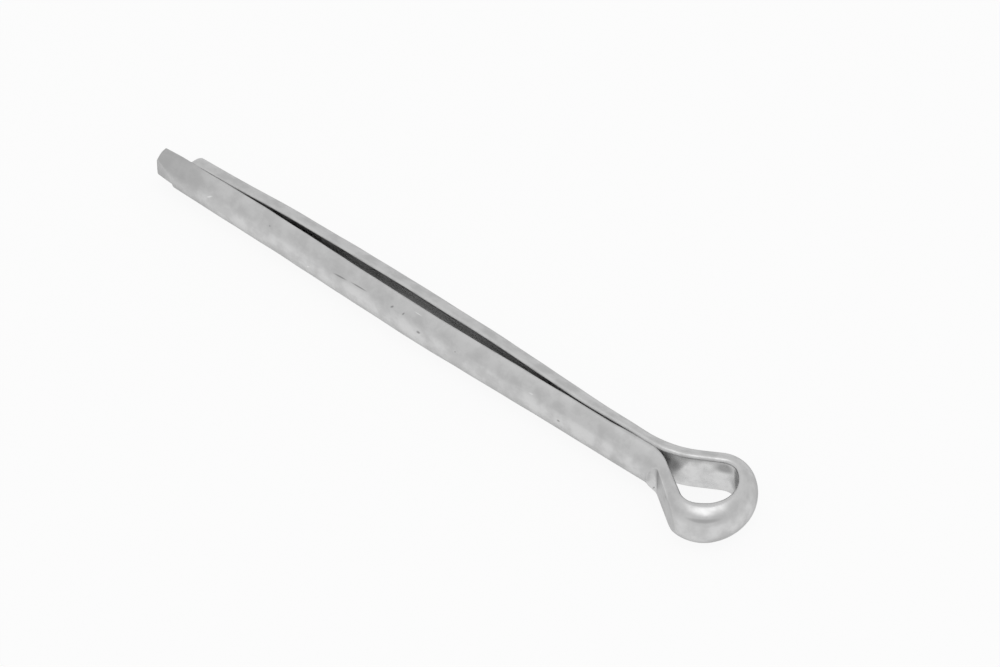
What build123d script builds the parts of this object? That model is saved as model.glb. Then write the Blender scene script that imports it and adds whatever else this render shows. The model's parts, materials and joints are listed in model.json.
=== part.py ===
"""A split cotter pin, bent from one length of half-round wire, lying on its side.

Everything is in millimetres. X runs along the shank from the eye towards the points, Y across
the split and Z up. The origin is on the shank's axis at the crotch, where the two legs part to
form the eye. The legs are named for their lengths: the long leg is on +Y and the short on -Y.
"""

from build123d import *
from math import atan2, cos, degrees, radians, sin, sqrt, tan
import os

# wire
back_radius = 2.13
wire_thickness = 1.68
edge_radius = 0.255

# legs
short_leg_length = 50.4
long_leg_overhang = 3.1
seam = 0.08
long_leg_bend = 23.0
short_leg_bow_start = 27.4
short_leg_bow_length = 7.2
bend_radius = 120.0

# eye
long_arm_angle = 34.0
short_arm_angle = 29.5
long_neck_radius = 3.6
short_neck_radius = 9.3
long_corner_radius = 2.0
long_corner_turn = 90.0
short_corner_radius = 1.47
short_corner_turn = 66.0
crown_radius = 3.06

# flat left along the long arm's back by the tool that closes the legs
pressed_wall = 1.0
pressed_start = 0.95
pressed_edge_radius = 0.35

# sheared ends, the long leg's worked to a point by flats on its back, its sides and between them
mitre_length = 1.9
mitre_depth = 0.6
bevel_turn = 41.0
bevel_length = 2.2
bevel_depth = 0.3
pinch_length = 2.6
pinch_depth = 0.32
end_radius = 0.12

# each flat stands this far from the axis, where both backs lie on one cylinder
half_gap = back_radius - wire_thickness
crotch = Vector(0, half_gap - seam / 2)
long_leg_length = short_leg_length + long_leg_overhang
half_width = edge_radius + sqrt((back_radius - edge_radius) ** 2 - (half_gap + edge_radius) ** 2)
crown_turn = 180 + long_arm_angle + short_arm_angle - long_corner_turn - short_corner_turn

# the blocks that cut the wire are this big, so that they pass right through it
reach = 4 * back_radius


def heading(bearing):
    """The unit vector in plan that points this many degrees round from +X."""
    return Vector(cos(radians(bearing)), sin(radians(bearing)))


def cross(a, b):
    """The Z part of the cross product of two vectors in plan."""
    return a.X * b.Y - a.Y * b.X


def eye_arcs():
    """The flat's line round the eye: a corner, the crown and a corner, each tangent to the next.

    They are drawn from the origin, then moved so that the arms' lines meet at the crotch.
    """
    along_long_arm = heading(180 - long_arm_angle)
    along_short_arm = heading(180 + short_arm_angle)
    long_corner = JernArc((0, 0), along_long_arm, long_corner_radius, long_corner_turn)
    crown = JernArc(long_corner @ 1, long_corner % 1, crown_radius, crown_turn)
    short_corner = JernArc(crown @ 1, crown % 1, short_corner_radius, short_corner_turn)
    far_end = short_corner @ 1
    long_arm_length = cross(far_end, along_short_arm) / cross(along_short_arm, along_long_arm)
    place = Pos(crotch + along_long_arm * long_arm_length)
    return [place * arc for arc in (long_corner, crown, short_corner)]


def flat_line():
    """The line that the wire's flat follows in plan, from the long leg's end to the short leg's."""
    eye = eye_arcs()
    long_neck = Vector(-seam / 2 / tan(radians(long_arm_angle)), half_gap)
    short_neck = Vector(-seam / 2 / tan(radians(short_arm_angle)), half_gap - seam)
    long_leg = FilletPolyline(
        (long_leg_length, seam / 2),
        (long_leg_bend, half_gap),
        long_neck,
        eye[0] @ 0,
        radius=[bend_radius, long_neck_radius],
    )
    short_leg = FilletPolyline(
        eye[-1] @ 1,
        short_neck,
        (short_leg_bow_start, -half_gap),
        (short_leg_bow_start + short_leg_bow_length, -half_gap),
        (short_leg_length, -seam / 2),
        radius=[short_neck_radius, bend_radius, bend_radius],
    )
    return Wire([*long_leg.edges(), *[edge for arc in eye for edge in arc.edges()], *short_leg.edges()])


def wire_section():
    """The half-round section: a flat on local Y and a round back towards +X, with rounded edges."""
    disc = Pos(-half_gap, 0) * Circle(back_radius)
    flat_side = Rectangle(2 * back_radius, 2 * back_radius, align=(Align.MAX, Align.CENTER))
    section = disc - flat_side
    corners = section.vertices().group_by(Axis.X)[0]
    return fillet(corners, edge_radius)


def end_plane(line):
    """The plane of the long leg's end: X towards the back, Y across the wire and Z along it."""
    along = line % 0
    return Plane(origin=line @ 0, x_dir=along.cross(Vector(0, 0, 1)), z_dir=along)


def bent_wire(line):
    """The wire swept along the flat's line, with its back on the outside."""
    return sweep(end_plane(line) * wire_section(), path=line)


def closing_tool():
    """The square block whose side pressed the flat, reaching past the wire above and below."""
    block = Box(reach, reach, reach, align=(Align.MIN, Align.MAX, Align.CENTER))
    corner = block.edges().filter_by(Axis.Z).sort_by(lambda edge: edge.center().X - edge.center().Y)[0]
    block = Pos(pressed_start, -pressed_wall) * fillet(corner, pressed_edge_radius)
    return Pos(crotch) * Rot(0, 0, 180 - long_arm_angle) * block


def point_waste(line, turn, stand_off, length, depth):
    """The block cut off the long leg's end on a slant, on the side turned this far from its back."""
    slant = degrees(atan2(depth, length))
    block = Box(reach, reach, reach, align=(Align.MIN, Align.CENTER, Align.MAX))
    return end_plane(line) * Rot(0, 0, turn) * Pos(stand_off, 0, length) * Rot(0, slant, 0) * block


def pointed(wire, line):
    """The wire with its long leg's end cut to a point."""
    bevel_stand_off = back_radius - half_gap * cos(radians(bevel_turn))
    wire -= point_waste(line, 0, wire_thickness, mitre_length, mitre_depth)
    for side in (-1, 1):
        wire -= point_waste(line, side * bevel_turn, bevel_stand_off, bevel_length, bevel_depth)
        wire -= point_waste(line, side * 90, half_width, pinch_length, pinch_depth)
    return wire


def cotter_pin():
    """The bent wire with its pressed flat, its pointed end and its sharp edges taken off."""
    line = flat_line()
    pin = pointed(bent_wire(line) - closing_tool(), line)
    for end in (line @ 0, line @ 1):
        cut = pin.faces().filter_by(GeomType.PLANE).sort_by(lambda face: (face.center() - end).length)[0]
        pin = fillet(cut.edges(), end_radius)
    return pin


if __name__ == "__main__":
    os.makedirs("parts", exist_ok=True)
    pin = cotter_pin()
    export_step(pin, "parts/cotter_pin.step")
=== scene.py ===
"""A split cotter pin in bright drawn steel, lying on a pale floor in a soft studio.

The wire is one surface: a half-round section carried along the line that its flat follows, from the
long leg's end, round the eye, to the short leg's end. The dents, the pressed flat and the sheared
ends are worked into the same grid of points.

Lengths are in metres and angles in radians, except where a name or a comment says otherwise.
"""

import json
from math import cos, pi, radians, sin

import bpy
import numpy as np
from mathutils import Matrix, Vector


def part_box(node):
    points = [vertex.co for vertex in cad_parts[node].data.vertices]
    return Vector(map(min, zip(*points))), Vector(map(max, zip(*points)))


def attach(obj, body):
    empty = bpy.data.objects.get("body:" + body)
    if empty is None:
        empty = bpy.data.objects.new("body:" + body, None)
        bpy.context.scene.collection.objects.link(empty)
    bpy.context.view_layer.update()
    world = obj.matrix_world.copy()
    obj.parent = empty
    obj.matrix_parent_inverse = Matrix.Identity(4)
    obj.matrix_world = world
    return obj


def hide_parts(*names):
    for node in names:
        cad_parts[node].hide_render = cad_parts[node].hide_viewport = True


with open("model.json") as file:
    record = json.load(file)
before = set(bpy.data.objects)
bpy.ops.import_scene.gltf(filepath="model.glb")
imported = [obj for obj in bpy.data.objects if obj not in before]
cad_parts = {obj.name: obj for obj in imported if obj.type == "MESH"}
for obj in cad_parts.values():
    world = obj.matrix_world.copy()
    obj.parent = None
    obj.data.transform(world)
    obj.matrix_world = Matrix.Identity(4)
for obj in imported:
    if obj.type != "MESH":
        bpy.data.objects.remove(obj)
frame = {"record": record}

bl_info = {
    "name": "Split cotter pin",
    "version": (1, 0, 0),
    "blender": (4, 5, 0),
    "location": "3D View > Sidebar > Cotter pin",
    "description": "Bends, finishes and lights a split cotter pin of half-round steel wire",
    "category": "Object",
}

MM = 0.001
NODE = "cotter_pin"
BODY = "root"
PIECE = "pin_wire"
WIRE_MAP = "wire"
MOUNTS = {mount["name"]: mount for mount in frame["record"]["mounts"]}
CAD_LOW, CAD_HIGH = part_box(NODE)
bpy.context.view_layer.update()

# the photograph's frame, and the pixel that the origin of the part falls on
PHOTO_WIDTH = 1000
PHOTO_HEIGHT = 667
ORIGIN_ACROSS = 666.3
ORIGIN_DOWN = 464.4
SENSOR_WIDTH_MM = 36
FLOOR_WIDTH = 6.0
VIEW_LENGTH = 20.0

# points round the section, stations along the wire, and rings in the cap at either end
BACK_POINTS = 56
EDGE_POINTS = 13
FLAT_POINTS = 16
STATIONS = 900
CAP_RINGS = 5

# how finely the flat's line is followed, and how many places outward the closing tool is looked for
LINE_STEP = 0.01 * MM
TOOL_SAMPLES = 300

# lengths over which one form gives way to the next
EDGE_FADE = 6 * MM
EYE_FADE = 3 * MM
FILL_START = 3 * MM
FILL_FADE = 6 * MM
TOUCH_FADE = 2 * MM
BEVEL_FADE = 0.12 * MM

# the point's cuts stop this far from the end, where they are let out past the wire
POINT_REACH = 4 * MM
LET_OUT = 1 * MM

# how softly a cut runs out into the wire: the tool's and the bevel's, and the sharper others
SOFT_CUT = 0.05 * MM
SHARP_CUT = 0.02 * MM

# thickening moves the flat's side only, and has faded out at this share of the thickness
INNER_SHARE = 0.6

# the tumbled dents: how many waves, their lengths, how far the distance along the wire is squeezed
# to draw them out that way, and by how many of their usual heights they are sunk, so that few stand
# proud
WAVES = 48
WAVE_LENGTHS = (1.2 * MM, 7.0 * MM)
WAVE_SQUEEZE = 0.7
SUNK = 2

# bells by which the legs stand off their line, as (x in mm, width in mm, share of the belly)
LONG_LEG_BOWS = ((25, 9, 1), (43, 7, -1))
SHORT_LEG_BOWS = ((19, 5, 1), (41, 4, 1), (7, 4.5, -0.8), (50, 5, 1.15))

# where the finish changes at the flat's two edges, round the girth in mm, from outside to inside
FLAT_EDGES = ((5.6, 6.0), (9.4, 9.0))

# where the steel is painted darker: painted shade on the flat in the gap between the legs, and
# darker towards the long leg's point
GAP_SHADE_X = (3 * MM, 10 * MM)
POINT_X = (46.5 * MM, 51 * MM)
POINT_Y = (-0.05 * MM, 0.1 * MM)

# a mark grows from nothing at its rim to full at this share of the way out from its middle
SPOT_RIM = 1.0
SPOT_FULL = 0.3

# marks on the wire, in mm: along it, round its girth, half length, half width, and turn in degrees
# dark pits, specks and scratches, and two patches of painted shade on the eye's inner wall
DIRT_AND_SHADE = (
    (20.5, 3.52, 0.9, 0.09, 4),
    (22.5, 3.66, 1.1, 0.08, 2),
    (26.08, 3.76, 0.22, 0.10, 40),
    (27.3, 3.76, 0.20, 0.09, 60),
    (29.2, 3.06, 0.26, 0.14, 10),
    (43.94, 2.72, 0.20, 0.12, 0),
    (122.3, 5.1, 0.25, 0.3, 0),
    (54.3, 1.3, 0.25, 0.10, 60),
    (67.0, 3.2, 0.12, 0.08, 10),
    (33.0, 3.3, 0.09, 0.08, 0),
    (12.5, 3.9, 0.10, 0.07, 0),
    # painted shade: these two darken the eye's inner wall at its upper corners
    (67.0, 6.05, 1.3, 0.85, 0),
    (71.6, 6.5, 1.4, 1.1, 0),
)
SCUFFS = (
    (6.11, 3.32, 0.38, 0.10, 35),
    (40.84, 3.6, 0.30, 0.09, 5),
    (28.5, 4.4, 0.5, 0.05, 0),
    (17.2, 2.6, 0.22, 0.06, 30),
)
# darker patches: the first and the last on the wire's back, the middle two painted shade darkening
# the upper corners of the eye's inner wall
RUBBED_AND_SHADE = (
    (60.3, 3.9, 1.2, 0.24, 0),
    (65.8, 7.2, 0.9, 1.2, 0),
    (71.4, 7.4, 1.2, 1.6, 0),
    (57.2, 3.4, 0.5, 0.16, 20),
)

WHITE = (1.0, 1.0, 1.0, 1.0)

# a Mix node's colour sockets, which share their names with others and so go by number
MIX_LOW = 6
MIX_HIGH = 7
MIX_RESULT = 2


def distance(name, description, default):
    """A length in metres, shown in the scene's own unit."""
    return bpy.props.FloatProperty(
        name=name, description=description, default=default, min=0, precision=5, unit="LENGTH"
    )


def angle(name, description, default):
    """An angle, given here in degrees."""
    return bpy.props.FloatProperty(
        name=name, description=description, default=radians(default), subtype="ANGLE"
    )


def share(name, description, default, top=1.0):
    """A number from nothing to one, or to a higher top."""
    return bpy.props.FloatProperty(
        name=name, description=description, default=default, min=0, max=top
    )


def colour(name, description, default):
    """A colour in linear light."""
    return bpy.props.FloatVectorProperty(
        name=name, description=description, default=default, min=0, max=1, subtype="COLOR"
    )


class WireSizes(bpy.types.PropertyGroup):
    """The half-round wire and its two legs."""

    back_radius: distance(
        "Back radius", "Radius of the wire's round back", MOUNTS["shank"]["dims"]["r_mm"] * MM
    )
    thickness: distance("Thickness", "From the wire's flat to the crest of its back", 1.68 * MM)
    half_width: distance(
        "Half width", "From the section's middle to its edge", CAD_HIGH.z - 0.01 * MM
    )
    edge_radius: distance("Edge radius", "Rounding between the flat and the back", 0.25 * MM)
    point_edge_radius: distance("Edge radius at the ends", "The same at the two ends", 0.04 * MM)
    short_leg: distance("Short leg", "From the crotch to the short leg's end", 50.66 * MM)
    long_leg: distance("Long leg", "From the crotch to the long leg's end", 53.49 * MM)
    seam: distance("Seam", "Gap left where the legs come together", 0.08 * MM)
    tip_seam: distance("Tip seam", "The same at the legs' ends", 0.02 * MM)
    long_bend: distance("Long leg's bend", "Where the long leg leans in towards its end", 23.0 * MM)
    bow_start: distance("Bow start", "Where the short leg stops leaving the long one", 27.4 * MM)
    bow_length: distance("Bow length", "How far the short leg then runs level", 7.2 * MM)
    belly: distance("Belly", "How far each leg bellies out between its bends", 0.09 * MM)
    short_fill: distance("Short leg's fill", "How much thicker the short leg is", 0.19 * MM)
    touch: distance("Touch", "Where the legs come together for good", 46.6 * MM)
    leg_bend_radius: distance("Leg bend radius", "Radius of the legs' shallow bends", 120.0 * MM)


class EyeSizes(bpy.types.PropertyGroup):
    """The bends that make the eye, measured on the wire's flat."""

    long_arm: angle("Long arm", "Angle at which the long leg's arm leaves the shank", 34.0)
    short_arm: angle("Short arm", "Angle at which the short leg's arm leaves the shank", 29.5)
    long_neck: distance("Long neck", "Bend radius at the long leg's neck", 3.6 * MM)
    short_neck: distance("Short neck", "Bend radius at the short leg's neck", 9.3 * MM)
    long_corner: distance("Long corner", "Bend radius of the corner after the long arm", 2.0 * MM)
    long_turn: angle("Long corner's turn", "How far the wire turns in that corner", 90.0)
    short_corner: distance(
        "Short corner", "Bend radius of the corner before the short arm", 1.47 * MM
    )
    short_turn: angle("Short corner's turn", "How far the wire turns in that corner", 66.0)
    crown: distance("Crown", "Bend radius of the crown between the two corners", 3.06 * MM)
    edge_radius: distance("Edge radius", "Rounding of the wire's edges in the eye", 0.34 * MM)
    swelling: distance("Swelling", "How much thicker the tight bend is inside", 0.45 * MM)
    swelling_at: angle("Swelling's bearing", "The wire's bearing where it is thickest", 219.0)
    swelling_turn: angle("Swelling's turn", "How far the wire turns before it fades", 46.0)
    arm_swelling: distance("Arm swelling", "How much thicker the short arm is", 0.19 * MM)


class ToolMarks(bpy.types.PropertyGroup):
    """What the forming and shearing tools left on the wire."""

    pressed_wall: distance("Pressed wall", "From the crotch to the pressed flat", 0.89 * MM)
    pressed_start: distance("Pressed start", "Along the arm, from crotch to step", 0.85 * MM)
    pressed_corner: distance("Pressed corner", "Radius of the tool's corner", 0.55 * MM)
    pressed_lean: angle("Pressed lean", "How far the pressed flat leans off the arm", 2.5)
    mitre_length: distance("Mitre length", "Length of the cut on the long leg's back", 1.9 * MM)
    mitre_depth: distance("Mitre depth", "Depth of that cut at the end", 0.5 * MM)
    bevel_angle: angle("Bevel angle", "How far below the back's crest the bevel faces", 41.0)
    bevel_length: distance("Bevel length", "Length of the long leg's bevelled point", 2.05 * MM)
    bevel_depth: distance("Bevel depth", "Depth of the bevel", 0.40 * MM)
    pinch_length: distance("Pinch length", "Length over which the point is narrowed", 2.6 * MM)
    pinch_depth: distance("Pinch depth", "How much the point is narrowed on each side", 0.21 * MM)
    point_radius: distance("Point radius", "Rounding of the point's corners", 0.06 * MM)
    taper_length: distance("Taper length", "How far back from the ends the wire narrows", 12.0 * MM)
    taper_depth: distance("Taper depth", "How much the long leg narrows on each side", 0.26 * MM)
    short_taper: distance("Short taper", "How much the short leg narrows on each side", 0.16 * MM)
    drop: distance("Drop", "How far the short leg's end lies lower than the long leg", 0.10 * MM)
    end_radius: distance("End radius", "Rounding of the sheared ends", 0.12 * MM)
    ripple: distance("Ripple", "Height of the shallow dents left by tumbling", 0.008 * MM)
    seed: bpy.props.IntProperty(name="Seed", description="Which set of dents is drawn", default=7)


class SteelFinish(bpy.types.PropertyGroup):
    """Bright steel wire, drawn, bent and tumbled."""

    bright: colour("Bright steel", "The clean metal", (0.68, 0.68, 0.68))
    dull: colour("Dull steel", "The clouded patches", (0.55, 0.55, 0.55))
    # darker steel: towards the long leg's point, in a few patches on the back, and as painted shade
    # in the gap between the legs and on the eye's inner wall
    wear_and_shade: colour("Worn steel", "The sheared point and the rubbed patches", (0.40, 0.40, 0.40))
    edge_tint: colour("Edge tint", "What is kept of a grazing reflection", (0.65, 0.65, 0.65))
    scuffed: colour("Scuffs", "Where the metal was scraped bright", (0.86, 0.86, 0.86))
    # also painted shade: with the last two dirt marks it darkens the eye's inner wall at its upper
    # corners
    pit_and_shade: colour("Pits", "Dirt in the pits and scratches", (0.24, 0.24, 0.24))
    gloss: share("Smoothest", "Roughness of the most polished metal", 0.31)
    satin: share("Roughest", "Roughness of the dullest metal", 0.44)
    polish: share("Polish", "How much less rough the wire's flat is", 0.14)
    cloud: distance("Cloud size", "Width of a clouded patch", 1.6 * MM)
    grain: distance("Grain size", "Width of the fine grain", 0.16 * MM)
    line: distance("Draw line spacing", "Width of the lines that the drawing die left", 0.12 * MM)


class Studio(bpy.types.PropertyGroup):
    """The floor, the lights and the camera."""

    azimuth: angle("Azimuth", "Turn of the view about the vertical", 38.81)
    elevation: angle("Elevation", "How far the camera looks down", 49.0)
    camera_distance: distance(
        "Camera distance", "From the camera to the origin, along the view", 542.4 * MM
    )
    lens: bpy.props.FloatProperty(
        name="Lens", description="Focal length", default=240.47, unit="CAMERA"
    )
    floor: colour("Floor", "The pale floor", (0.90, 0.90, 0.90))
    floor_white: share("Floor's white", "How near to white the camera sees the floor", 0.90)
    tent: share("Tent light", "Brightness of the white tent round the part", 0.70)
    tent_white: share("Tent's white", "How near to white the metal sees the tent", 0.30)
    box_power: share("Softbox power", "Power of the overhead softbox, in watts", 0.11, 50.0)
    box_azimuth: angle("Softbox azimuth", "Where the softbox hangs, round from +X", 150.0)
    box_elevation: angle("Softbox elevation", "How high the softbox hangs", 82.0)
    box_distance: distance("Softbox distance", "From the origin to the softbox", 300.0 * MM)
    box_width: distance("Softbox width", "Width of the round softbox", 215.0 * MM)


class CotterPinSettings(bpy.types.PropertyGroup):
    """Everything that the panel shows."""

    wire: bpy.props.PointerProperty(type=WireSizes)
    eye: bpy.props.PointerProperty(type=EyeSizes)
    marks: bpy.props.PointerProperty(type=ToolMarks)
    steel: bpy.props.PointerProperty(type=SteelFinish)
    studio: bpy.props.PointerProperty(type=Studio)


def heading(bearing):
    """The unit vector in plan along a bearing, in radians round from +X."""
    return np.array([np.cos(bearing), np.sin(bearing)])


def cross(a, b):
    """The Z part of the cross product of two vectors in plan."""
    return a[0] * b[1] - a[1] * b[0]


def line_corners(wire, eye):
    """The corners of the line that the flat follows, and the bend radius at each inner one.

    The eye is three corners: each run between them is as long as the two bends beside it need, so
    the bends are tangent to each other. The three are then slid along the long arm until the short
    arm's line meets the crotch.
    """
    half_gap = wire.back_radius - wire.thickness
    crotch = np.array([0, half_gap - wire.seam / 2])
    crown_turn = pi + eye.long_arm + eye.short_arm - eye.long_turn - eye.short_turn
    turns = np.array([eye.long_turn, crown_turn, eye.short_turn])
    radii = np.array([eye.long_corner, eye.crown, eye.short_corner])
    reach = radii * np.tan(turns / 2)
    bearings = pi - eye.long_arm + np.append(0, np.cumsum(turns))
    outward, inward = heading(bearings[0]), heading(bearings[-1])
    first = crotch + outward * reach[0]
    second = first + heading(bearings[1]) * (reach[0] + reach[1])
    third = second + heading(bearings[2]) * (reach[1] + reach[2])
    slide = outward * cross(crotch - third, inward) / cross(outward, inward)
    corners = [
        (wire.long_leg, wire.tip_seam / 2),
        (wire.long_bend, half_gap),
        (-wire.seam / 2 / np.tan(eye.long_arm), half_gap),
        first + slide,
        second + slide,
        third + slide,
        (-wire.seam / 2 / np.tan(eye.short_arm), half_gap - wire.seam),
        (wire.bow_start, -half_gap),
        (wire.bow_start + wire.bow_length, -half_gap),
        (wire.short_leg, -wire.tip_seam / 2),
    ]
    bend = wire.leg_bend_radius
    return np.array(corners), np.array([bend, eye.long_neck, *radii, eye.short_neck, bend, bend])


def flat_line(corners, radii, step):
    """Distances along the flat's line, with the point and the bearing at each.

    The bearing is constant along a run and changes evenly with distance round a bend, so it is read
    off a line graph whose breaks are the bends' ends. The points are the running sum of the steps
    taken along it.
    """
    runs = np.diff(corners, axis=0)
    bearing = np.unwrap(np.arctan2(runs[:, 1], runs[:, 0]))
    turn = np.diff(bearing)
    tangent = radii * np.abs(np.tan(turn / 2))
    straight = np.hypot(*runs.T) - np.append(tangent, 0) - np.append(0, tangent)
    stretches = np.zeros(2 * len(runs) - 1)
    stretches[::2] = straight
    stretches[1::2] = radii * np.abs(turn)
    breaks = np.append(0, np.cumsum(stretches))
    along = np.linspace(0, breaks[-1], int(breaks[-1] / step) + 1)
    bearings = np.interp(along, breaks, np.repeat(bearing, 2))
    ahead = heading(bearings)
    steps = (ahead[:, 1:] + ahead[:, :-1]) / 2 * np.diff(along)
    points = corners[0] + np.vstack([np.zeros(2), np.cumsum(steps, axis=1).T])
    return along, points, bearings


def wire_profile(wire, edge):
    """The half-round section as (out from the flat, up, lean), once round from its lower edge.

    The back and the two edges are arcs, tangent to each other, and the flat closes the outline. The
    lean is the normal's angle from straight out. There is a row for each of the edge radii, and
    every row is stretched upwards to the wire's half width.
    """
    half_gap = wire.back_radius - wire.thickness
    rise = np.sqrt((wire.back_radius - edge) ** 2 - (half_gap + edge) ** 2)
    turn = np.arctan2(rise, half_gap + edge)
    back = turn * np.linspace(-1, 1, BACK_POINTS)
    upper = turn + (pi - turn) * np.linspace(0, 1, EDGE_POINTS)[1:]
    lower = -upper[:, ::-1]
    flat = rise * np.linspace(1, -1, FLAT_POINTS)[1:-1]
    out = np.hstack(
        [
            wire.back_radius * np.cos(back) - half_gap,
            edge * (1 + np.cos(upper)),
            0 * flat,
            edge * (1 + np.cos(lower)),
        ]
    )
    up = np.hstack(
        [
            wire.back_radius * np.sin(back),
            rise + edge * np.sin(upper),
            flat,
            edge * np.sin(lower) - rise,
        ]
    )
    lean = np.hstack([back, upper, pi + 0 * flat, lower])
    return out, up * wire.half_width / up.max(axis=1, keepdims=True), lean


def bells(x, shapes):
    """The sum of smooth bells, each given as (middle, width, height).

    A bell is its height times e to the power of minus the square of x's distance from its middle,
    measured in its widths.
    """
    return sum(height * np.exp(-(((x - middle) / width) ** 2)) for middle, width, height in shapes)


def crowded(crowds, total, count):
    """Distances from 0 to total, count of them, closer together in each crowd's bell.

    They are read off the running total of a density, which is 1 plus the bells.
    """
    fine = np.linspace(0, total, 8 * count)
    running = np.cumsum(1 + bells(fine, crowds))
    running = (running - running[0]) / (running[-1] - running[0])
    return np.interp(np.linspace(0, 1, count), running, fine)


def swell(x):
    """A smooth step from 0, where x is 0 or less, to 1, where it is 1 or more: 3 x^2 - 2 x^3."""
    x = np.clip(x, 0, 1)
    return x * x * (3 - 2 * x)


def over(x, blend):
    """How far x stands above nothing, rounded off over a small blend.

    It is half the sum of x and the root of x squared plus the blend squared.
    """
    return (x + np.sqrt(x * x + blend * blend)) / 2


def quarter_round(distance_in, radius):
    """How far a rounded corner has fallen away at a distance in from its end.

    It is the radius less the height of a circle of that radius, and nothing past the corner.
    """
    left = np.maximum(radius - distance_in, 0)
    return radius - np.sqrt(np.maximum(radius**2 - left**2, 0))


def shave(out, up, lean, reach, blend):
    """Moves what stands further than reach, in the direction lean, straight back to it."""
    past = over(out * np.cos(lean) + up * np.sin(lean) - reach, blend)
    return out - np.cos(lean) * past, up - np.sin(lean) * past


def ripples(along, girth, seed):
    """Shallow dents, about 1 high: a sum of plane waves with random bearings, lengths and phases.

    Each wave is a sine of the distance along its bearing and is as high as it is long. The sum is
    divided by its own standard deviation.
    """
    rng = np.random.default_rng(seed)
    height = np.zeros(np.broadcast(along, girth).shape)
    for _ in range(WAVES):
        length = rng.uniform(*WAVE_LENGTHS)
        bearing = rng.uniform(-0.5, 0.5) * pi
        phase = rng.uniform(0, 2 * pi)
        ahead = along * np.cos(bearing) * WAVE_SQUEEZE + girth * np.sin(bearing)
        height += np.sin(2 * pi / length * ahead + phase) * length
    return height / np.std(height)


def leg_bows(x, on_long_leg, wire):
    """How far to +Y the legs stand off their line at x: the belly times each leg's bells."""
    long_leg = bells(x / MM, LONG_LEG_BOWS)
    short_leg = bells(x / MM, SHORT_LEG_BOWS)
    return wire.belly * np.where(on_long_leg, long_leg, -short_leg)


def tool_limit(x, y, across, wire, eye, marks):
    """How far out from the flat the closing tool lets the wire stand, at each station.

    Seen in plan, the tool is a square block with one rounded corner, its side along the long arm.
    Each station's line outward is sampled, and the limit is the first sample inside the block.
    """
    arm = heading(pi - eye.long_arm - marks.pressed_lean)
    face = np.array([arm[1], -arm[0]])
    crotch = np.array([0, wire.back_radius - wire.thickness - wire.seam / 2])
    out = np.linspace(0, wire.thickness, TOOL_SAMPLES)
    place = np.stack([x, y], axis=-1)[:, None] + across[:, None] * out[:, None] - crotch
    corner = marks.pressed_corner
    along = place @ arm - marks.pressed_start - corner
    away = place @ face - marks.pressed_wall - corner
    inside = np.where((along < 0) & (away < 0), np.hypot(along, away) < corner, True)
    inside &= (along > -corner) & (away > -corner)
    return np.where(inside.any(axis=1), out[inside.argmax(axis=1)], 2 * wire.thickness)


def lay_stations(wire, eye):
    """Distances along the wire, with x, y and the bearing of the flat's line at each.

    They crowd together at both ends, at the long leg's neck and round the eye. Each crowd is its
    middle, its width, and how much denser the stations are there.
    """
    along, points, bearings = flat_line(*line_corners(wire, eye), LINE_STEP)
    first_half = len(points) // 2
    neck = np.interp(0, -points[:first_half, 0], along[:first_half])
    crowds = (
        (0, 2.4 * MM, 2.2),
        (along[-1], 1.2 * MM, 2.5),
        (neck, 1.2 * MM, 2.6),
        (neck + 10 * MM, 9 * MM, 1.3),
    )
    stations = crowded(crowds, along[-1], STATIONS)
    return stations, *(np.interp(stations, along, values) for values in (*points.T, bearings))


def thickening(x, y, bearing, on_long_leg, in_eye, wire, eye):
    """How far the wire's inner side stands in from its line.

    In the eye it is a bell at the tight bend and one at the short arm, both over the bearing, which
    has come all the way round there. On the short leg it is an even fill. Past the touch, both legs
    grow to meet at y = 0.
    """
    short_arm = 2 * pi + eye.short_arm
    bends = (
        (eye.swelling_at, eye.swelling_turn, eye.swelling),
        (short_arm, eye.swelling_turn, eye.arm_swelling),
    )
    fill = wire.short_fill * swell((x - FILL_START) / FILL_FADE)
    inward = bells(bearing, bends) * in_eye + np.where(on_long_leg, 0, fill)
    apart = np.where(on_long_leg, y, -y - inward)
    return inward + np.maximum(apart, 0) * swell((x - wire.touch) / TOUCH_FADE + 0.5)


def cut_point(out, up, stations, wire, marks):
    """The section's points after the long leg's end is cut: its back, its bevel and its two sides.

    Each cut is a limit on how far a point may stand in one direction, and each limit but the
    bevel's closes in evenly towards the end. The point's corners are rounded off them all.
    """
    corner = quarter_round(stations, marks.point_radius)
    let_out = np.where(stations > POINT_REACH, LET_OUT, 0)
    mitre = marks.mitre_depth * (1 - stations / marks.mitre_length)
    out, up = shave(out, up, 0, wire.thickness - mitre, SHARP_CUT)
    crest = wire.back_radius - (wire.back_radius - wire.thickness) * cos(marks.bevel_angle)
    bevel = marks.bevel_depth * swell((marks.bevel_length - stations) / BEVEL_FADE + 0.5)
    out, up = shave(out, up, -marks.bevel_angle, crest - bevel - corner + let_out, SOFT_CUT)
    pinch = np.maximum(marks.pinch_depth * (1 - stations / marks.pinch_length), 0)
    half = wire.half_width - marks.taper_depth - pinch - corner + let_out
    for side in (pi / 2, -pi / 2):
        out, up = shave(out, up, side, half, SHARP_CUT)
    return out, up


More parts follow.
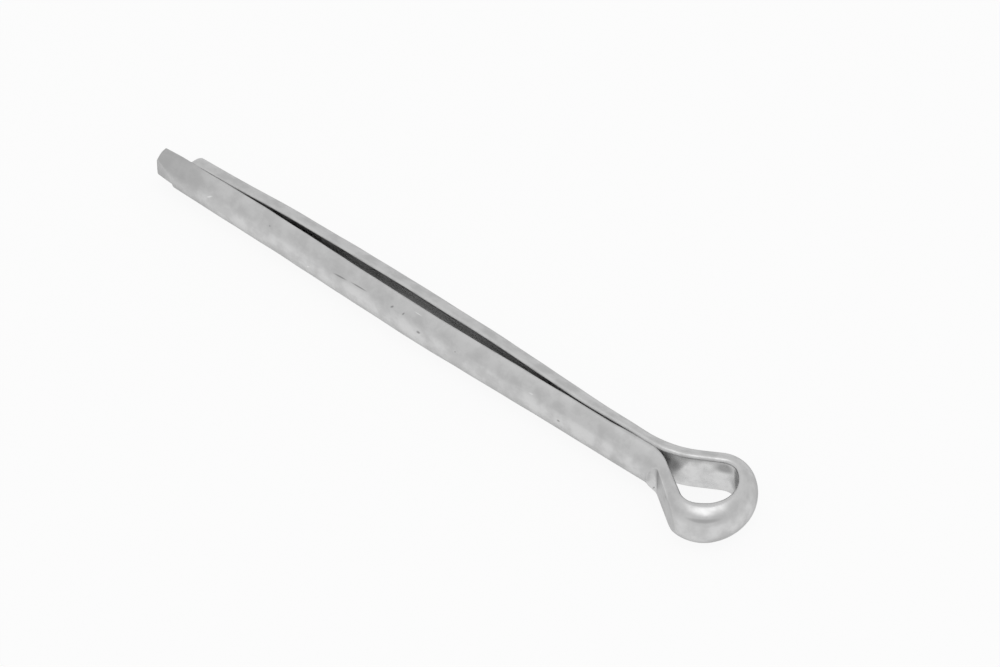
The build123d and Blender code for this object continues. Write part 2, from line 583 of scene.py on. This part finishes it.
def pin_surface(settings):
    """The pin's grid of points, one row for each station along the wire, and its (along, girth).

    A point is the line's point, plus its distance out from the flat across the line, plus its
    height. The section is thickened, dented and tapered, and then cut by the tools.
    """
    wire, eye, marks = settings.wire, settings.eye, settings.marks
    stations, x, y, bearing = lay_stations(wire, eye)
    across = np.stack([np.sin(bearing), -np.cos(bearing)], axis=-1)
    on_long_leg = stations < stations[-1] / 2
    y = y + leg_bows(x, on_long_leg, wire)
    limit = tool_limit(x, y, across, wire, eye, marks)
    limit = np.where(on_long_leg, limit, 2 * wire.thickness)
    columns = (stations, x, y, bearing, on_long_leg, limit)
    stations, x, y, bearing, on_long_leg, limit = (column[:, None] for column in columns)

    from_far_end = stations[-1] - stations
    to_end = np.minimum(stations, from_far_end)
    in_eye = swell((to_end - wire.short_leg) / EYE_FADE + 1)
    edge = wire.edge_radius + (eye.edge_radius - wire.edge_radius) * in_eye
    edge = edge + (wire.point_edge_radius - wire.edge_radius) * swell(1 - to_end / EDGE_FADE)
    out, up, lean = wire_profile(wire, edge)
    middle = len(out) // 2
    girth = np.append(0, np.cumsum(np.hypot(np.diff(out[middle]), np.diff(up[middle]))))

    inward = thickening(x, y, bearing, on_long_leg, in_eye, wire, eye)
    out = out - inward * swell(1 - out / (INNER_SHARE * wire.thickness))
    dent = marks.ripple * (ripples(stations, girth, marks.seed) - SUNK)
    dent = dent - quarter_round(to_end, marks.end_radius)
    narrowing = np.where(on_long_leg, marks.taper_depth, marks.short_taper)
    taper = 1 - narrowing / wire.half_width * swell(1 - to_end / marks.taper_length)
    drop = marks.drop * swell(1 - from_far_end / marks.taper_length)
    out = out + dent * np.cos(lean)
    up = up * taper + dent * np.sin(lean) - drop

    out, up = shave(out, up, 0, limit, SOFT_CUT)
    out, up = cut_point(out, up, stations, wire, marks)
    grid = np.stack([x + across[:, :1] * out, y + across[:, 1:] * out, up + 0 * x], axis=-1)
    return grid, np.broadcast_to(stations, out.shape), np.broadcast_to(girth, out.shape)


def end_cap(ring):
    """Rings that shrink from an end ring towards its middle, and the middle itself."""
    middle = ring.mean(axis=0)
    inward = (np.arange(1, CAP_RINGS) / CAP_RINGS)[:, None, None]
    return ring + (middle - ring) * inward, middle[None]


def closed_tube(name, grid, along, girth):
    """A mesh of a grid that closes round each row, with a cap of rings and a fan at either end.

    Its UV map holds each point's distance along the wire and round its girth, in mm.
    """
    first_rings, first_middle = end_cap(grid[0])
    last_rings, last_middle = end_cap(grid[-1])
    rows = np.concatenate([first_rings[::-1], grid, last_rings])
    count, around = rows.shape[:2]
    verts = np.concatenate([rows.reshape(-1, 3), first_middle, last_middle])
    start = np.arange(count - 1)[:, None] * around
    here = np.arange(around)
    after = (here + 1) % around
    quads = np.stack(
        [start + here, start + around + here, start + around + after, start + after], axis=-1
    ).reshape(-1, 4)
    tail = (count - 1) * around
    first_fan = np.stack([here, after, np.full(around, count * around)], axis=-1)
    last_fan = np.stack([tail + after, tail + here, np.full(around, count * around + 1)], axis=-1)
    mesh = bpy.data.meshes.new(name)
    mesh.from_pydata(verts, [], [*quads.tolist(), *first_fan.tolist(), *last_fan.tolist()])
    rings = CAP_RINGS - 1
    along_rows = np.concatenate([along[:1].repeat(rings, 0), along, along[-1:].repeat(rings, 0)])
    girth_rows = np.repeat(girth[:1], count, 0)
    vertex_uv = np.concatenate(
        [
            np.stack([along_rows, girth_rows], axis=-1).reshape(-1, 2),
            [[along[0, 0], 0], [along[-1, 0], 0]],
        ]
    )
    loops = np.zeros(len(mesh.loops), np.int32)
    mesh.loops.foreach_get("vertex_index", loops)
    uv = mesh.uv_layers.new(name=WIRE_MAP)
    uv.data.foreach_set("uv", (vertex_uv[loops] / MM).astype(np.float32).ravel())
    mesh.polygons.foreach_set("use_smooth", np.ones(len(mesh.polygons), bool))
    mesh.update()
    mesh.validate()
    return mesh


class Value:
    """A socket that Python's own operators work on: each adds the Math node that it stands for."""

    def __init__(self, shader, socket):
        self.shader = shader
        self.socket = socket

    def _maths(self, operation, *terms):
        return self.shader.node("ShaderNodeMath", {"operation": operation}, dict(enumerate(terms)))

    def __add__(self, other):
        return self._maths("ADD", self, other)

    def __radd__(self, other):
        return self._maths("ADD", other, self)

    def __sub__(self, other):
        return self._maths("SUBTRACT", self, other)

    def __rsub__(self, other):
        return self._maths("SUBTRACT", other, self)

    def __mul__(self, other):
        return self._maths("MULTIPLY", self, other)

    def __rmul__(self, other):
        return self._maths("MULTIPLY", other, self)

    def beside(self, output):
        """Another output of the node that this one comes from."""
        return Value(self.shader, self.socket.node.outputs[output])

    def between(self, low, high):
        """0 where this is low or less, 1 where it is high or more, and smooth in between."""
        return self.shader.node(
            "ShaderNodeMapRange",
            {"interpolation_type": "SMOOTHSTEP"},
            {"Value": self, "From Min": low, "From Max": high},
        )


class Shader:
    """A node tree that is written as expressions."""

    def __init__(self, tree):
        self.tree = tree
        tree.nodes.clear()

    def node(self, kind, settings, sockets, output=0):
        """Adds a node: its settings first, then its sockets, each by a value or a link."""
        node = self.tree.nodes.new(kind)
        for name, value in settings.items():
            setattr(node, name, value)
        for name, value in sockets.items():
            if isinstance(value, Value):
                self.tree.links.new(value.socket, node.inputs[name])
            else:
                node.inputs[name].default_value = value
        return Value(self, node.outputs[output]) if node.outputs else None

    def mix(self, amount, low, high):
        """A colour between two: the low one where the amount is 0, the high one where it is 1."""
        sockets = {"Factor": amount, MIX_LOW: low, MIX_HIGH: high}
        return self.node("ShaderNodeMix", {"data_type": "RGBA"}, sockets, MIX_RESULT)

    def spots(self, wire, marks):
        """1 inside any of some ellipses on the wire, 0 outside them all, with soft edges."""
        total = 0
        for along, girth, half_length, half_width, turn in marks:
            place = {"Location": (along, girth, 0), "Rotation": (0, 0, radians(turn))}
            sockets = {"Vector": wire, **place, "Scale": (half_length, half_width, 1)}
            inside = self.node("ShaderNodeMapping", {"vector_type": "TEXTURE"}, sockets)
            far = self.node("ShaderNodeVectorMath", {"operation": "LENGTH"}, {0: inside}, "Value")
            total = far.between(SPOT_RIM, SPOT_FULL) + total
        return total

    def noise(self, place, size, detail, roughness):
        """Cloudy noise whose patches are about this size, from 0 to 1."""
        sockets = {"Vector": place, "Scale": 1 / size, "Detail": detail, "Roughness": roughness}
        return self.node("ShaderNodeTexNoise", {}, sockets)


def rgba(rgb):
    """A colour property as the four numbers that a socket takes."""
    return (*rgb, 1.0)


def drawn_steel(steel):
    """Bright drawn wire: clouded patches, fine grain, lines along the wire, and a few dark pits.

    The tone is a weighted sum of the clouds, the lines and the grain, and mixes bright steel with
    dull. Darker steel, dirt and scuffs are mixed over it by masks; the darker steel and the pit
    colour also paint shade into the gap between the legs and onto the eye's inner wall.
    """
    material = bpy.data.materials.new("drawn_steel")
    material.use_nodes = True
    shader = Shader(material.node_tree)
    place = shader.node("ShaderNodeTexCoord", {}, {}, "Object")
    wire = shader.node("ShaderNodeUVMap", {"uv_map": WIRE_MAP}, {})
    x = shader.node("ShaderNodeSeparateXYZ", {}, {"Vector": place}, "X")
    y = x.beside("Y")
    girth = shader.node("ShaderNodeSeparateXYZ", {}, {"Vector": wire}, "Y")

    clouds = shader.noise(place, steel.cloud, 3.0, 0.6).between(0.35, 0.65)
    grain = shader.noise(place, steel.grain, 2.0, 0.6)
    stretch = shader.node("ShaderNodeMapping", {}, {"Vector": wire, "Scale": (0.06, 1.0, 1.0)})
    lines = shader.noise(stretch, steel.line / MM, 2.0, 0.5)
    flat = girth.between(*FLAT_EDGES[0]) * girth.between(*FLAT_EDGES[1])
    # painted shade: the flat darkened where it faces the other leg across the gap
    gap_shade = flat * x.between(*GAP_SHADE_X)
    point = x.between(*POINT_X) * y.between(*POINT_Y)
    rubbed_and_shade = shader.spots(wire, RUBBED_AND_SHADE)
    dirt_and_shade = shader.spots(wire, DIRT_AND_SHADE)
    scuffs = shader.spots(wire, SCUFFS)

    tone = clouds * 0.65 + lines * 0.2 + grain * 0.15
    # darker steel towards the long leg's point and in the patches, and painted shade in the gap
    # between the legs and on the eye's inner wall
    wear_and_shade = point * 0.45 + rubbed_and_shade * 0.7 + gap_shade * 0.7
    base = shader.mix(tone, rgba(steel.bright), rgba(steel.dull))
    base = shader.mix(wear_and_shade, base, rgba(steel.wear_and_shade))
    # the pit colour over the dirt marks, and as painted shade on the eye's inner wall
    base = shader.mix(dirt_and_shade * 0.8, base, rgba(steel.pit_and_shade))
    base = shader.mix(scuffs * 0.8, base, rgba(steel.scuffed))
    roughness = steel.gloss + clouds * (steel.satin - steel.gloss) - flat * steel.polish
    height = grain * 0.4 + lines * 0.6 - dirt_and_shade * 1.5 + scuffs * 0.6
    relief = {"Strength": 0.25, "Distance": 0.01 * MM, "Height": height}
    sockets = {
        "Base Color": base,
        "Metallic": 1.0,
        "Roughness": roughness,
        "Specular Tint": rgba(steel.edge_tint),
        "Normal": shader.node("ShaderNodeBump", {}, relief),
    }
    metal = shader.node("ShaderNodeBsdfPrincipled", {}, sockets)
    shader.node("ShaderNodeOutputMaterial", {}, {"Surface": metal})
    return material


def seen_as_white(shader, shaded, white, camera_share, metal_share):
    """A mix of the shaded surface with a white one, for the camera and for the metal.

    The mix is the first share on the camera's own rays, the second on glossy and transmission rays,
    and nothing on the rest, which light the part.
    """
    camera_ray = shader.node("ShaderNodeLightPath", {}, {}, "Is Camera Ray")
    metal_ray = camera_ray.beside("Is Glossy Ray") + camera_ray.beside("Is Transmission Ray")
    share_white = camera_share * camera_ray + metal_share * metal_ray
    return shader.node("ShaderNodeMixShader", {}, {0: share_white, 1: shaded, 2: white})


def floor_white(studio):
    """A matt pale floor that the camera and the metal see near to white, with a faint shadow."""
    material = bpy.data.materials.new("floor_white")
    material.use_nodes = True
    shader = Shader(material.node_tree)
    matt = shader.node("ShaderNodeBsdfDiffuse", {}, {"Color": rgba(studio.floor)})
    white = shader.node("ShaderNodeEmission", {}, {"Color": WHITE, "Strength": 1.0})
    mixed = seen_as_white(shader, matt, white, studio.floor_white, 1.0)
    shader.node("ShaderNodeOutputMaterial", {}, {"Surface": mixed})
    return material


def white_tent(studio):
    """A world of even soft light, which the camera sees as white and the metal as nearer to it."""
    world = bpy.data.worlds.new("white_tent")
    world.use_nodes = True
    shader = Shader(world.node_tree)
    soft = shader.node("ShaderNodeBackground", {}, {"Color": WHITE, "Strength": studio.tent})
    white = shader.node("ShaderNodeBackground", {}, {"Color": WHITE, "Strength": 1.0})
    mixed = seen_as_white(shader, soft, white, 1.0, studio.tent_white)
    shader.node("ShaderNodeOutputWorld", {}, {"Surface": mixed})
    return world


def direction(azimuth, elevation):
    """The unit vector that points to an azimuth round from +X and an elevation."""
    level = cos(elevation)
    return Vector((level * cos(azimuth), level * sin(azimuth), sin(elevation)))


def camera_turn(studio):
    """The camera's rotation: its right, up and backward directions are the columns."""
    ahead = Vector((sin(studio.azimuth), -cos(studio.azimuth), 0))
    right = Vector((-cos(studio.azimuth), -sin(studio.azimuth), 0))
    up = Vector((0, 0, 1))
    view = ahead * cos(studio.elevation) - up * sin(studio.elevation)
    over_view = ahead * sin(studio.elevation) + up * cos(studio.elevation)
    return Matrix((right, over_view, -view)).transposed()


class COTTERPIN_OT_bend_wire(bpy.types.Operator):
    """Bend the half-round wire into the pin, in place of the plain CAD solid"""

    bl_idname = "cotterpin.bend_wire"
    bl_label = "Bend the wire"

    def execute(self, context):
        grid, along, girth = pin_surface(context.scene.cotter_pin)
        piece = bpy.data.objects.new(PIECE, closed_tube(PIECE, grid, along, girth))
        context.scene.collection.objects.link(piece)
        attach(piece, BODY)
        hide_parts(NODE)
        return {"FINISHED"}


class COTTERPIN_OT_finish_steel(bpy.types.Operator):
    """Give the wire its drawn and tumbled steel finish"""

    bl_idname = "cotterpin.finish_steel"
    bl_label = "Finish the steel"

    def execute(self, context):
        piece = bpy.data.objects[PIECE]
        piece.data.materials.clear()
        piece.data.materials.append(drawn_steel(context.scene.cotter_pin.steel))
        return {"FINISHED"}


class COTTERPIN_OT_set_stage(bpy.types.Operator):
    """Lay the floor, hang the lights and place the camera"""

    bl_idname = "cotterpin.set_stage"
    bl_label = "Set the stage"

    def execute(self, context):
        scene = context.scene
        studio = scene.cotter_pin.studio
        self.lay_floor(scene, studio)
        self.hang_lights(scene, studio)
        self.place_camera(scene, studio)
        scene.view_settings.view_transform = "Standard"
        return {"FINISHED"}

    def lay_floor(self, scene, studio):
        """A wide square under the pin's lowest line."""
        half = FLOOR_WIDTH / 2
        low = CAD_LOW.z
        corners = [(-half, -half, low), (half, -half, low), (half, half, low), (-half, half, low)]
        mesh = bpy.data.meshes.new("floor")
        mesh.from_pydata(corners, [], [(0, 1, 2, 3)])
        mesh.materials.append(floor_white(studio))
        floor = bpy.data.objects.new("floor", mesh)
        scene.collection.objects.link(floor)

    def hang_lights(self, scene, studio):
        """An even white tent, and a round softbox nearly overhead."""
        scene.world = white_tent(studio)
        lamp = bpy.data.lights.new("softbox", "AREA")
        lamp.shape = "DISK"
        lamp.size = studio.box_width
        lamp.energy = studio.box_power
        softbox = bpy.data.objects.new("softbox", lamp)
        towards = direction(studio.box_azimuth, studio.box_elevation)
        softbox.location = towards * studio.box_distance
        softbox.rotation_euler = towards.to_track_quat("Z", "Y").to_euler()
        scene.collection.objects.link(softbox)

    def place_camera(self, scene, studio):
        """A long lens at the photograph's angle, with the part's origin on its pixel there."""
        data = bpy.data.cameras.new("camera")
        data.lens = studio.lens
        data.sensor_width = SENSOR_WIDTH_MM
        data.clip_end = VIEW_LENGTH
        metres_per_pixel = studio.camera_distance * SENSOR_WIDTH_MM / (data.lens * PHOTO_WIDTH)
        across = (ORIGIN_ACROSS - PHOTO_WIDTH / 2) * metres_per_pixel
        above = (PHOTO_HEIGHT / 2 - ORIGIN_DOWN) * metres_per_pixel
        turn = camera_turn(studio)
        camera = bpy.data.objects.new("camera", data)
        place = -(turn @ Vector((across, above, -studio.camera_distance)))
        camera.matrix_world = Matrix.Translation(place) @ turn.to_4x4()
        scene.collection.objects.link(camera)
        scene.camera = camera


class COTTERPIN_PT_sidebar(bpy.types.Panel):
    """The pin's sizes and the steps that make it"""

    bl_label = "Cotter pin"
    bl_idname = "COTTERPIN_PT_sidebar"
    bl_space_type = "VIEW_3D"
    bl_region_type = "UI"
    bl_category = "Cotter pin"

    def draw(self, context):
        settings = context.scene.cotter_pin
        for group in (settings.wire, settings.eye, settings.marks, settings.steel, settings.studio):
            box = self.layout.box()
            for name in group.bl_rna.properties.keys():
                if name not in ("rna_type", "name"):
                    box.prop(group, name)
        for step in STEPS:
            self.layout.operator(step.bl_idname)


STEPS = (COTTERPIN_OT_bend_wire, COTTERPIN_OT_finish_steel, COTTERPIN_OT_set_stage)
GROUPS = (WireSizes, EyeSizes, ToolMarks, SteelFinish, Studio, CotterPinSettings)


def register():
    """Makes the settings, the steps and the panel known."""
    for item in (*GROUPS, *STEPS, COTTERPIN_PT_sidebar):
        bpy.utils.register_class(item)
    bpy.types.Scene.cotter_pin = bpy.props.PointerProperty(type=CotterPinSettings)


def unregister():
    """Takes them away again, in the opposite order."""
    del bpy.types.Scene.cotter_pin
    for item in reversed((*GROUPS, *STEPS, COTTERPIN_PT_sidebar)):
        bpy.utils.unregister_class(item)


def main():
    register()
    bpy.ops.cotterpin.bend_wire()
    bpy.ops.cotterpin.finish_steel()
    bpy.ops.cotterpin.set_stage()


if __name__ == "__main__":
    main()
